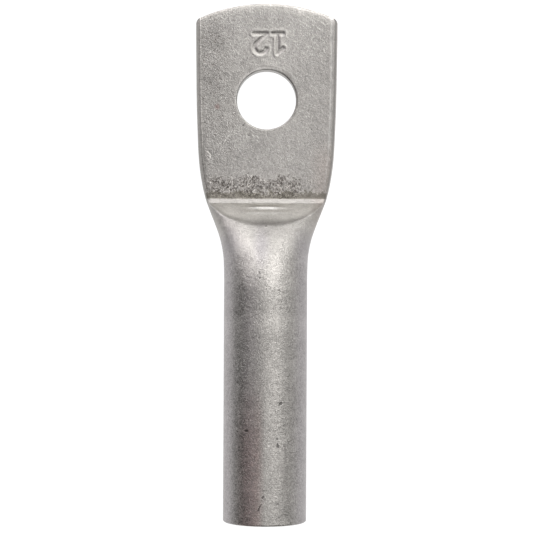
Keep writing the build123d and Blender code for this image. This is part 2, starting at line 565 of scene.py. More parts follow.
@dataclass(frozen=True)
class PressWearAndPaintedLight:
    """What pressing, shearing and handling left on the front, beyond the plain shape, and the highlights and
    shade that are painted on it.

    All sizes are in millimetres. A pair says where an effect is still nil and where it is whole, or how
    large it is before and after a change.
    """

    sizes: LugSizes
    tube: PressedTube
    lip: FineLine = FineLine(0.12, 0.12, 0.045)
    groove: FineLine = FineLine(0.45, 0.17, 0.07)
    groove_fades: tuple = (9.0, 3.0)
    folds_end: tuple = (0.4, 1.4)
    ridges: tuple = ((FineLine(-1.0, 0.31, 0.19), 3.5), (FineLine(-2.1, 0.31, 0.0665), 5.25))
    ring: FineLine = FineLine(7.5, 0.25, 0.035)
    ring_turn: float = math.radians(68.0)
    ring_fades: tuple = (4.5, 7.2)
    tip_roll_width: float = 0.55
    tip_roll_drop: float = 0.13
    palm_waviness: float = 0.028
    barrel_waviness: float = 0.022
    broad_waves: float = 4.5
    narrow_waves: float = 1.7
    narrow_offset: float = 50.0
    wave_shares: tuple = (0.7, 0.45)
    wave_sink: float = 0.5
    front_z: float = 3.2
    rim_width: float = 0.22
    # where the painted highlight and the painted shade on the hole's rolled edge fade in
    rim_fades: tuple = (2.0, 6.0)
    # painted highlight along the right-hand lip of the palm's flat face
    lip_highlight: FineLine = FineLine(0.42, 0.17, 0.55)
    # share of painted highlight on the upper left of the hole's rolled edge
    rim_highlight: float = 0.3
    burnish_starts: tuple = (0.05, 1.3)
    touching: tuple = (0.35, 0.1)
    burnish_top: tuple = (16.5, 14.5)
    burnished_ends: tuple = (8.0, 11.0)
    end_burnish: float = 0.5
    root_softness: float = 0.15
    # painted shade: a dark line beside the left-hand fold of the palm, stronger towards the step
    groove_shade_inset: tuple = (0.4, 0.25)
    groove_shade_moves: tuple = (-13.0, -18.0)
    groove_shade_width: tuple = (0.16, 0.26)
    groove_shade_strength: tuple = (1.0, 2.2)
    groove_shade_thickens: tuple = (-8.0, -12.0)
    # painted shade along the crease where the sloping face meets the oval
    crease_shade: FineLine = FineLine(0.1, 0.6, 0.7)
    crease_shade_across: tuple = (11.5, 8.5)
    crease_shade_behind: float = 1.5
    dents: tuple = (
        Dent(-13.1, -11.3, 0.6, 0.07), Dent(-12.3, -12.1, 0.5, 0.06), Dent(-12.2, 10.6, 0.45, 0.05),
        Dent(-11.9, 14.5, 0.4, 0.05), Dent(10.9, 12.9, 0.7, 0.04), Dent(-4.0, -7.9, 0.5, 0.05),
        Dent(9.9, -6.6, 0.4, 0.05), Dent(7.3, -19.4, 0.9, 0.07), Dent(-6.9, -18.7, 1.0, 0.07),
        Dent(-1.1, -19.9, 0.9, 0.08), Dent(2.6, -18.4, 0.7, 0.06), Dent(-10.6, -19.8, 0.8, 0.06),
        Dent(11.0, -19.7, 0.7, 0.05), Dent(0.2, -29.0, 0.5, 0.05), Dent(-1.7, -36.2, 0.9, 0.05),
        Dent(4.1, -39.5, 1.1, 0.04), Dent(-4.4, -43.0, 1.3, 0.05), Dent(5.6, -56.5, 1.2, 0.04),
        Dent(-5.2, -66.0, 1.1, 0.05), Dent(3.6, -72.5, 0.8, 0.05), Dent(-1.2, -82.5, 0.9, 0.06),
    )

    def waves(self, place: Array, length: float) -> Array:
        """Smooth noise between about -1 and 1, with waves of the given length in millimetres."""
        return np.array([noise.noise(Vector(point)) for point in place / length])

    def pressed(self, x: Array, y: Array, z: Array) -> Array:
        """How far each place belongs to the sloping face that the die burnished, plus painted highlights
        along the right-hand lip of the flat face and on the upper left of the hole's rolled edge.
        """
        sizes = self.sizes
        touching = eased(*self.touching, np.abs(z - self.tube.roof(y))) * eased(*self.burnish_top, z)
        ends = touching * eased(*self.burnished_ends, np.abs(x)) * self.end_burnish
        face = np.maximum(eased(*self.burnish_starts, self.over_roof(x, y)), ends)
        past_root = eased(sizes.root_y + self.root_softness, sizes.root_y - self.root_softness, y)
        face = face * past_root * (z > sizes.palm_thickness)
        # painted highlight along the right-hand lip of the flat face
        lip = self.lip_highlight.at(self.flat_edge(y) - x) * (z > self.front_z)
        # painted highlight on the upper left of the hole's rolled edge
        rim = self.rim(x, y, z) * eased(*self.rim_fades, y - x)
        return np.maximum(face, np.maximum(lip * eased(sizes.root_y, sizes.step_y, y), rim * self.rim_highlight))

    def rim(self, x: Array, y: Array, z: Array) -> Array:
        """1 on the rolled edge of the stud hole and 0 away from it."""
        middle = self.sizes.hole_radius + self.sizes.hole_roll_over
        return hump(np.hypot(x, y), middle, self.rim_width) * (z > self.front_z)

    def over_roof(self, x: Array, y: Array) -> Array:
        """How far the tube would stand above the upper die if the die hadn't pressed it."""
        half_width, widest, top, _ = self.tube.oval(y)
        oval_z = widest + (top - widest) * self.tube.arch(x / half_width, y)
        return oval_z - self.tube.roof(y)

    def grime(self, x: Array, y: Array, z: Array) -> Array:
        """How much painted shade each place gets: in the groove beside the left-hand fold, under the crease
        and on the right of the hole's rolled edge.
        """
        sizes = self.sizes
        # painted shade in the groove beside the left-hand fold
        on_palm = (z > sizes.palm_thickness - 0.4) * eased(sizes.root_y, sizes.step_y, y)
        low = eased(*self.groove_shade_thickens, y)
        inset = between(*self.groove_shade_inset, eased(*self.groove_shade_moves, y))
        groove = hump(self.flat_edge(y) + x, inset, between(*self.groove_shade_width, low))
        groove = groove * between(*self.groove_shade_strength, low) * on_palm
        # painted shade along the crease
        crease = self.crease_shade.at(self.over_roof(x, y)) * (z > sizes.palm_thickness)
        crease = crease * eased(sizes.root_y, sizes.root_y - self.crease_shade_behind, y)
        crease = crease * eased(*self.crease_shade_across, np.abs(x))
        # painted shade on the right of the hole's rolled edge
        rim = self.rim(x, y, z) * eased(*self.rim_fades, x + 0.3 * y)
        return groove + crease + rim

    def flat_edge(self, y: Array) -> Array:
        """Half width of the palm's flat face."""
        oval = self.tube.oval(y)
        return oval[0] * np.cos(self.tube.corner_angle(self.tube.roof(y), oval))

    def relief(self, place: Array) -> Array:
        """Height that all of it adds along the normal.

        Args:
            place: X, Y and Z of each vertex in millimetres.

        Returns:
            Heights in millimetres, negative where metal is missing.
        """
        sizes = self.sizes
        x, y, z = place.T
        front = sizes.palm_thickness
        on_palm = eased(front - 0.3, front - 0.1, z) * eased(sizes.root_y, sizes.step_y, y)
        broad = self.waves(place, self.broad_waves)
        narrow = self.waves(place + self.narrow_offset, self.narrow_waves)
        from_edge = self.flat_edge(y) - np.abs(x)
        folds = self.lip.at(from_edge) - self.groove.at(from_edge) * eased(*self.groove_fades, x)
        height = on_palm * (0.75 + 0.5 * narrow) * folds * eased(*self.folds_end, sizes.tip_y - y)
        facing = x * math.cos(self.ring_turn) + y * math.sin(self.ring_turn)
        height += on_palm * self.ring.at(np.hypot(x, y)) * eased(*self.ring_fades, facing)
        for ridge, half_length in self.ridges:
            height += ridge.at(y - sizes.root_y) * np.exp(-((x / half_length) ** 4))
        wavy = between(self.barrel_waviness, self.palm_waviness, on_palm)
        broad_share, narrow_share = self.wave_shares
        height += wavy * (broad_share * broad + narrow_share * narrow - self.wave_sink * (1.0 - on_palm))
        for dent in self.dents:
            height += dent.relief(x, y) * eased(front - 0.5, front, z)
        return height


@dataclass
class LugBody:
    """The whole pressed lug as one closed mesh, with the spacing and the counts of its rings."""

    sizes: LugSizes
    plan: RingPlan = field(default_factory=RingPlan)
    stamp: StudSizeStamp = field(default_factory=StudSizeStamp)
    hole_block: float = 8.3
    dense_before_root: float = 2.7
    dense_past_step: float = 0.5
    row_steps: tuple = (0.8, 0.3, 0.11, 0.4, 0.4)
    stamp_rows: tuple = (8.0, 0.17)
    rows_past_stamp: int = 10
    rows_before_tip: tuple = (0.6, 0.4, 0.25, 0.14, 0.06, 0.0)
    rows_over_tip: tuple = (0.08, 0.3, 0.7)
    rows_under_tip: tuple = (0.3, 0.7, 0.92)
    bend_share_steps: int = 4
    merge_distance: float = 0.0005
    sharp_angle: float = math.radians(38.0)
    roll_lean: float = 0.12
    roll_lean_angle: float = math.radians(20.0)
    back_edge: float = 0.06
    block_rings: int = 12
    block_crowding: float = 0.8
    roll_rings: int = 6
    wall_rings: int = 8
    rim_rings: int = 7
    mouth_face_rings: int = 5
    chamfer_shares: tuple = (0.1, 0.9, 1.0)
    first_bore_rings: tuple = (0.7, 1.0, 1.5, 2.5)
    bore_rings: int = 16
    cavity_rings: int = 26
    lining_softness: float = 0.05
    front_tolerance: float = 0.5
    stamp_from: tuple = (8.0, 8.6)
    # painted shade in the stamped strokes
    stamp_shade: float = 0.35
    slit_fade: float = 1.5

    def row_places(self) -> Array:
        """Places of the rings from the mouth's rounding to the edge of the block round the hole."""
        sizes = self.sizes
        ends = (
            sizes.mouth_y + sizes.mouth_rounding, sizes.barrel_start_y, sizes.root_y - self.dense_before_root,
            sizes.step_y + self.dense_past_step, -self.hole_block, self.hole_block,
        )
        return np.concatenate([
            np.linspace(low, high, round((high - low) / step), endpoint=False)
            for low, high, step in zip(ends, ends[1:], self.row_steps)
        ])

    def tip_shares(self) -> Array:
        """Shares of the way from the block round the hole to the sheared tip, for the last rings."""
        span = self.sizes.tip_y - self.hole_block
        length, step = self.stamp_rows
        fine = np.arange(0.0, length, step)
        coarse = np.linspace(length, span - self.rows_before_tip[0], self.rows_past_stamp, endpoint=False)
        edge = span - np.array(self.rows_before_tip)
        return np.concatenate((fine, coarse, edge)) / span

    def tip_curve(self, x: Array) -> Array:
        """Plan of the sheared tip: a shallow arc with two rounded corners."""
        sizes = self.sizes
        half = sizes.palm_half_width + sizes.outline_margin
        radius, corner = sizes.tip_radius, sizes.tip_corner_radius
        corner_x = half - corner
        corner_y = sizes.tip_y - radius + math.sqrt((radius - corner) ** 2 - corner_x**2)
        meeting_x = radius * corner_x / (radius - corner)
        arc = sizes.tip_y - radius + np.sqrt(radius**2 - np.minimum(np.abs(x), meeting_x) ** 2)
        rounded = corner_y + np.sqrt(np.maximum(corner**2 - np.maximum(np.abs(x) - corner_x, 0.0) ** 2, 0.0))
        return np.where(np.abs(x) < meeting_x, arc, rounded)

    def outside_rings(self, tube: PressedTube) -> Array:
        """Rings of the whole outside. Those past the hole bend until the last one is the tip."""
        straight = np.repeat(self.row_places()[:, None], self.plan.points, axis=1)
        shares = np.repeat(self.tip_shares()[:, None], self.plan.points, axis=1)
        bent = between(self.hole_block, self.sizes.tip_y, shares)
        for _ in range(self.bend_share_steps):
            x = tube.rings(bent)[..., 0]
            bent = between(self.hole_block, self.tip_curve(x), shares)
        return tube.rings(np.concatenate((straight, bent)))

    def hole_loop(self, numbers: Array, columns: Array) -> Array:
        """Numbers of the vertices on the edge of the block round the hole, in order.

        Args:
            numbers: vertex numbers of the outside, by row and column.
            columns: the columns from the block's left side to its right side.

        Returns:
            One closed loop of vertex numbers.
        """
        low, high = self.hole_rows()
        bottom = numbers[low, columns[:-1]]
        right = numbers[low:high, columns[-1]]
        top = numbers[high, columns[:0:-1]]
        left = numbers[high:low:-1, columns[0]]
        return np.concatenate((bottom, right, top, left))

    def hole_rows(self) -> tuple:
        """First and last row of the block round the hole."""
        places = self.row_places()
        low = int(np.argmin(np.abs(places + self.hole_block)))
        return low, len(places)

    def hole_columns(self) -> tuple:
        """First and last column of the block round the hole, on the front."""
        reach = self.hole_block / self.plan.palm_reach
        shares = self.plan.palm_shares
        low = int(np.argmin(np.abs(shares + reach)))
        return low, self.plan.columns - 1 - low

    def circle(self, loop: Array, radius: Values, z: Values) -> Array:
        """Points round the hole, each in the direction of a point of the loop."""
        angle = np.arctan2(loop[:, 1], loop[:, 0])
        return np.stack((radius * np.cos(angle), radius * np.sin(angle), z + np.zeros_like(angle)), axis=-1)

    def add_hole(self, sheet: SheetOfQuads, points: Array, numbers: Array) -> None:
        """Lays the flat faces round the hole, its rolled edge and its wall.

        Args:
            sheet: where the faces go.
            points: points of the outside, by row and column.
            numbers: vertex numbers of the outside, by row and column.
        """
        sizes, plan = self.sizes, self.plan
        low, high = self.hole_columns()
        front = np.arange(low, high + 1)
        back = plan.columns + plan.side_points + (plan.columns - 1 - front)
        front_loop = self.hole_loop(numbers, front)
        back_loop = self.hole_loop(numbers, back)
        flat = points.reshape(-1, 3)
        around = flat[front_loop]
        lean = np.cos(np.arctan2(around[:, 1], around[:, 0]) - self.roll_lean_angle)
        roll = sizes.hole_roll_over * (1.0 + self.roll_lean * lean)
        front_edge = self.circle(around, sizes.hole_radius + roll, sizes.palm_thickness)
        steps = past(0.0, 1.0, self.block_rings) ** self.block_crowding
        rings = [between(around, front_edge, step) for step in steps]
        for angle in past(0.0, math.pi / 2.0, self.roll_rings):
            radius = sizes.hole_radius + roll * (1.0 - math.sin(angle))
            rings.append(self.circle(around, radius, sizes.palm_thickness - roll * (1.0 - math.cos(angle))))
        wall_top = sizes.palm_thickness - roll
        shares = past(0.0, 1.0, self.wall_rings)
        walls = [self.circle(around, sizes.hole_radius, between(wall_top, self.back_edge, t)) for t in shares]
        back_edge = self.circle(around, sizes.hole_radius + self.back_edge, 0.0)
        backs = [between(back_edge, flat[back_loop], 1.0 - share) for share in shares[::-1]]
        patches = ((rings, Surface.OUTSIDE), (walls, Surface.HOLE_WALL), (backs, Surface.OUTSIDE))
        laid = [sheet.add_points(np.stack(patch), surface.value) for patch, surface in patches]
        sheet.join_rows(np.concatenate((front_loop[None], *laid, back_loop[None])), closed=True)

    def add_tip(self, sheet: SheetOfQuads, points: Array, numbers: Array) -> None:
        """Closes the sheared tip, with the fine slit between the tube's two walls.

        Args:
            sheet: where the faces go.
            points: points of the last ring.
            numbers: vertex numbers of the last ring.
        """
        sizes, plan = self.sizes, self.plan
        right, _, left = plan.starts
        half = plan.side_points // 2
        upper = np.concatenate((np.arange(left + half, plan.points), np.arange(right + half)))
        lower = np.arange(left + half - 1, right + half - 1, -1)
        top, bottom = points[upper], points[lower]
        slit_reach = sizes.palm_half_width - sizes.wall
        depth = sizes.seam_depth * eased(slit_reach, slit_reach - self.slit_fade, np.abs(top[:, 0]))
        over, under = self.slit_line(top, 1.0, 0.0), self.slit_line(bottom, -1.0, 0.0)
        rows = [between(top, over, share) for share in self.rows_over_tip]
        rows += [over, self.slit_line(top, 1.0, depth), self.slit_line(bottom, -1.0, depth), under]
        rows += [between(under, bottom, share) for share in self.rows_under_tip]
        laid = sheet.add_points(np.stack(rows), Surface.TIP.value)
        sheet.join_rows(np.concatenate((numbers[upper][None], laid, numbers[lower][None])), closed=False)

    def slit_line(self, edge: Array, side: float, depth: Values) -> Array:
        """One edge of the slit in the tip, above or below the middle and as deep as asked."""
        middle = self.sizes.palm_thickness / 2.0
        gap = np.minimum(self.sizes.seam_half_gap, np.abs(edge[:, 2] - middle) * 0.5)
        return np.stack((edge[:, 0], edge[:, 1] - depth, middle + side * gap), axis=-1)

    def mouth_rings(self, first: Array) -> Array:
        """Rings from the barrel's outside round its rim and into the chamfered bore.

        Args:
            first: points of the barrel's first ring.

        Returns:
            Points by row and column.
        """
        sizes = self.sizes
        angle = np.arctan2(first[:, 2] - sizes.axis_z, first[:, 0])
        rim = sizes.mouth_rounding
        profile = [
            (sizes.barrel_radius - rim + rim * math.cos(t), sizes.mouth_y + rim - rim * math.sin(t))
            for t in past(0.0, math.pi / 2.0, self.rim_rings)
        ]
        chamfer_radius = sizes.bore_radius + sizes.bore_chamfer
        face = past(sizes.barrel_radius - rim, chamfer_radius, self.mouth_face_rings)
        profile += [(radius, sizes.mouth_y) for radius in face]
        profile += [
            (between(chamfer_radius, sizes.bore_radius, t), sizes.mouth_y + t * sizes.bore_chamfer)
            for t in self.chamfer_shares
        ]
        across, up = np.cos(angle), np.sin(angle)
        return np.stack([
            np.stack((radius * across, np.full_like(angle, y), sizes.axis_z + radius * up), axis=-1)
            for radius, y in profile
        ])

    def inside_rings(self) -> Array:
        """Rings of the bore and of the cavity that closes to a line under the step."""
        sizes = self.sizes
        slope = math.radians(sizes.shoulder_slope)
        soft = self.lining_softness
        lining = PressedTube(sizes, self.plan, inset=sizes.wall, edge_softness=soft, crease_softness=soft)
        rise = float(lining.roof(np.array([sizes.root_y]))[0]) - sizes.wall
        closing_y = sizes.root_y + rise / math.tan(slope)
        first = sizes.mouth_y + np.array(self.first_bore_rings)
        bore = np.linspace(first[-1], sizes.barrel_start_y, self.bore_rings, endpoint=False)
        cavity = np.linspace(sizes.barrel_start_y, closing_y, self.cavity_rings)
        places = np.concatenate((first[:-1], bore, cavity))
        return lining.rings(np.repeat(places[:, None], self.plan.points, axis=1))

    def mesh(self) -> bpy.types.Mesh:
        """Lays all the patches and joins them into one closed mesh in millimetres."""
        plan = self.plan
        sheet = SheetOfQuads()
        tube = PressedTube(self.sizes, plan)
        points = self.outside_rings(tube)
        numbers = sheet.add_points(points, Surface.OUTSIDE.value)
        row_low, row_high = self.hole_rows()
        column_low, column_high = self.hole_columns()
        keep = np.ones((len(numbers) - 1, plan.points), dtype=bool)
        keep[row_low:row_high, column_low:column_high] = False
        back_end = 2 * plan.columns + plan.side_points - 1
        keep[row_low:row_high, back_end - column_high : back_end - column_low] = False
        sheet.join_rows(numbers, closed=True, keep=keep)
        self.add_hole(sheet, points, numbers)
        self.add_tip(sheet, points[-1], numbers[-1])
        mouth = sheet.add_points(self.mouth_rings(points[0]), Surface.MOUTH.value)
        inside = sheet.add_points(self.inside_rings(), Surface.INSIDE.value)
        sheet.join_rows(np.concatenate((numbers[:1], mouth, inside)), closed=True)
        return sheet.build("cable_lug_body", self.merge_distance)

    def read(self, mesh: bpy.types.Mesh, name: str) -> Array:
        """A vector of every vertex, such as its place, one in each row."""
        flat = np.empty(len(mesh.vertices) * 3, np.float32)
        mesh.vertices.foreach_get(name, flat)
        return flat.reshape(-1, 3).astype(float)

    def mark(self, mesh: bpy.types.Mesh, name: str, values: Array) -> None:
        """Keeps one number for each vertex, for the finish to read."""
        attribute = mesh.attributes.new(name, "FLOAT", "POINT")
        attribute.data.foreach_set("value", values.astype(np.float32))

    def relief(self, wear_and_painted_light: PressWearAndPaintedLight, place: Array) -> Array:
        """Height that the stamp, the presswork and the drawn-down tip add along the normal.

        Args:
            wear_and_painted_light: what pressing and handling left on the front, and the highlights and shade
                painted on it.
            place: X, Y and Z of each vertex in millimetres.

        Returns:
            Heights in millimetres.
        """
        x, y, z = place.T
        front = z > self.sizes.palm_thickness - self.front_tolerance
        near_tip = eased(wear_and_painted_light.tip_roll_width, 0.0, self.tip_curve(x) - y)
        stamped = self.stamp.relief(x, y) * (front * eased(*self.stamp_from, y))
        return stamped + wear_and_painted_light.relief(place) - wear_and_painted_light.tip_roll_drop * near_tip**1.5 * front

    def build(self) -> bpy.types.Object:
        """Makes the object in metres, marked and shaded."""
        sizes = self.sizes
        mesh = self.mesh()
        wear_and_painted_light = PressWearAndPaintedLight(sizes, PressedTube(sizes, self.plan))
        place, normal = self.read(mesh, "co"), self.read(mesh, "normal")
        kind = np.empty(len(place), np.int32)
        mesh.attributes["surface"].data.foreach_get("value", kind)
        outside = kind == Surface.OUTSIDE.value
        x, y, z = place.T
        stamped = self.stamp.recess(x, y) * (z > sizes.palm_thickness - self.front_tolerance)
        # the burnished die face plus painted highlights on the right-hand lip and the hole's rolled edge
        self.mark(mesh, "pressed", wear_and_painted_light.pressed(x, y, z) * outside)
        # painted shade: the dark line by the left fold, the crease, the right of the hole's edge and the
        # stamped strokes
        self.mark(mesh, "grime", np.maximum(wear_and_painted_light.grime(x, y, z), self.stamp_shade * stamped) * outside)
        self.mark(mesh, "sheared", np.isin(kind, (Surface.HOLE_WALL.value, Surface.TIP.value)))
        self.mark(mesh, "inside", kind == Surface.INSIDE.value)
        place = place + normal * (self.relief(wear_and_painted_light, place) * outside)[:, None]
        half = sizes.palm_half_width
        place = np.clip(place, (-half, sizes.mouth_y, 0.0), (half, sizes.tip_y, sizes.top_z))
        mesh.vertices.foreach_set("co", (place * MILLIMETRE).astype(np.float32).ravel())
        mesh.update()
        mesh.set_sharp_from_angle(angle=self.sharp_angle)
        return placed("pressed_tube", mesh)


class Signal:
    """The value of one socket, with the arithmetic that the finishes use."""

    def __init__(self, graph: "Graph", socket: bpy.types.NodeSocket) -> None:
        """Wraps a socket of a graph."""
        self.graph = graph
        self.socket = socket

    def maths(self, operation: str, first: Number, second: Number) -> "Signal":
        """Adds one Math node on two values."""
        node = self.graph.node("ShaderNodeMath", {"operation": operation}, {0: first, 1: second})
        return Signal(self.graph, node.outputs[0])

    def __add__(self, other: Number) -> "Signal":
        """Sum of two values."""
        return self.maths("ADD", self, other)

    def __radd__(self, other: float) -> "Signal":
        """Sum of a number and this value."""
        return self.maths("ADD", other, self)

    def __sub__(self, other: Number) -> "Signal":
        """Difference of two values."""
        return self.maths("SUBTRACT", self, other)

    def __rsub__(self, other: float) -> "Signal":
        """A number less this value."""
        return self.maths("SUBTRACT", other, self)

    def __mul__(self, other: Number) -> "Signal":
        """Product of two values."""
        return self.maths("MULTIPLY", self, other)

    def __abs__(self) -> "Signal":
        """This value without its sign."""
        return self.maths("ABSOLUTE", self, 0.0)

    def step(self, low: float, high: float) -> "Signal":
        """A smooth step from 0 where this value is low to 1 where it is high."""
        sockets = {"Value": self, "From Min": low, "From Max": high}
        return self.graph.signal("ShaderNodeMapRange", {"interpolation_type": "SMOOTHSTEP"}, sockets)

    def swing(self, amount: Number) -> "Signal":
        """This noise as a swing about 0, so many times as wide."""
        return (self - 0.5) * amount

    def stretched(self, scale: tuple) -> "Signal":
        """This place, squeezed or stretched along each axis."""
        return self.graph.signal("ShaderNodeMapping", sockets={"Vector": self, "Scale": scale})

    def noise(self, scale: float, detail: float, rough: float = 0.55) -> "Signal":
        """Noise between 0 and 1 at this place, with about the given number of waves in a millimetre."""
        sockets = {"Vector": self, "Scale": scale, "Detail": detail, "Roughness": rough}
        return self.graph.signal("ShaderNodeTexNoise", sockets=sockets)

    def distance(self, centre: tuple, reach: tuple = (1.0, 1.0, 1.0), turn: float = 0.0) -> "Signal":
        """Distance of this place from a centre.

        Args:
            centre: X, Y and Z of the centre in millimetres.
            reach: what counts as 1 along each axis, in millimetres.
            turn: how far the axes are turned about Z, in degrees.

        Returns:
            The distance as a share of the reach.
        """
        rotation = (0.0, 0.0, math.radians(turn))
        sockets = {"Vector": self, "Location": centre, "Rotation": rotation, "Scale": reach}
        local = self.graph.signal("ShaderNodeMapping", {"vector_type": "TEXTURE"}, sockets)
        return self.graph.signal("ShaderNodeVectorMath", {"operation": "LENGTH"}, {0: local}, output="Value")

    def mix(self, first: "Signal | tuple", second: "Signal | tuple") -> "Signal":
        """A colour that is the first one where this share is 0 and the second one where it is 1."""
        sockets = {"Factor": self, 6: first, 7: second}
        return self.graph.signal("ShaderNodeMix", {"data_type": "RGBA"}, sockets, output=2)


class Graph:
    """The nodes of one material or world."""

    def __init__(self, tree: bpy.types.NodeTree) -> None:
        """Starts from an empty tree."""
        self.tree = tree
        tree.nodes.clear()

    def node(self, kind: str, settings: dict | None = None, sockets: dict | None = None) -> bpy.types.Node:
        """Adds one node.

        Args:
            kind: the node's type.
            settings: its properties, which are set first.
            sockets: a value, a Signal or an output for each input, by name or number.

        Returns:
            The node.
        """
        node = self.tree.nodes.new(kind)
        for name, value in (settings or {}).items():
            setattr(node, name, value)
        for key, value in (sockets or {}).items():
            socket = node.inputs[key]
            if isinstance(value, Signal):
                value = value.socket
            if isinstance(value, bpy.types.NodeSocket):
                self.tree.links.new(value, socket)
            else:
                socket.default_value = value
        return node

    def signal(
        self, kind: str, settings: dict | None = None, sockets: dict | None = None, output: str | int = 0
    ) -> Signal:
        """Adds one node and wraps one of its outputs."""
        return Signal(self, self.node(kind, settings, sockets).outputs[output])

    def surface(self, kind: str, sockets: dict, output: str = "ShaderNodeOutputMaterial") -> None:
        """Adds the shader and joins it to the output."""
        self.node(output, sockets={"Surface": self.node(kind, sockets=sockets).outputs[0]})


class Face(Enum):
    """A stretch of the front: where it ends, its height and how deep a mark on it reaches, in mm."""

    PALM = (-22.0, 5.0, 4.5)
    SHOULDER = (-36.0, 14.0, 12.0)
    BARREL = (-100.0, 16.0, 13.0)

    @classmethod
    def at(cls, y: float) -> "Face":
        """The stretch that a place along the lug is on."""
        return next(face for face in cls if y > face.value[0])


@dataclass(frozen=True)
class Mark:
    """One small mark on the front: an oval patch of another tone that is cut in or stands up.

    Places and sizes are in millimetres and the turn is in degrees. A tone under 1 is darker than the
    metal round it, and a negative depth is cut in.
    """

    x: float
    y: float
    half_length: float
    half_width: float
    turn: float
    tone: float
    depth: float = 0.0

    def mask(self, place: Signal) -> Signal:
        """1 inside the mark and 0 outside it, with a soft edge."""
        _, height, reach = Face.at(self.y).value
        size = (self.half_length, self.half_width, reach)
        return place.distance((self.x, self.y, height), size, self.turn).step(*MARK_EDGE)


@dataclass(frozen=True)
class Patch:
    """A soft oval patch of the front that looks different, with its sizes in millimetres."""

    x: float
    y: float
    reach_x: float
    reach_y: float
    strength: float = 1.0
    z: float = 4.0
    reach_z: float = 9.0

    def mask(self, place: Signal) -> Signal:
        """The strength at the centre, which fades to 0 at the reach along each axis."""
        reach = (self.reach_x, self.reach_y, self.reach_z)
        return place.distance((self.x, self.y, self.z), reach).step(1.0, 0.0) * self.strength


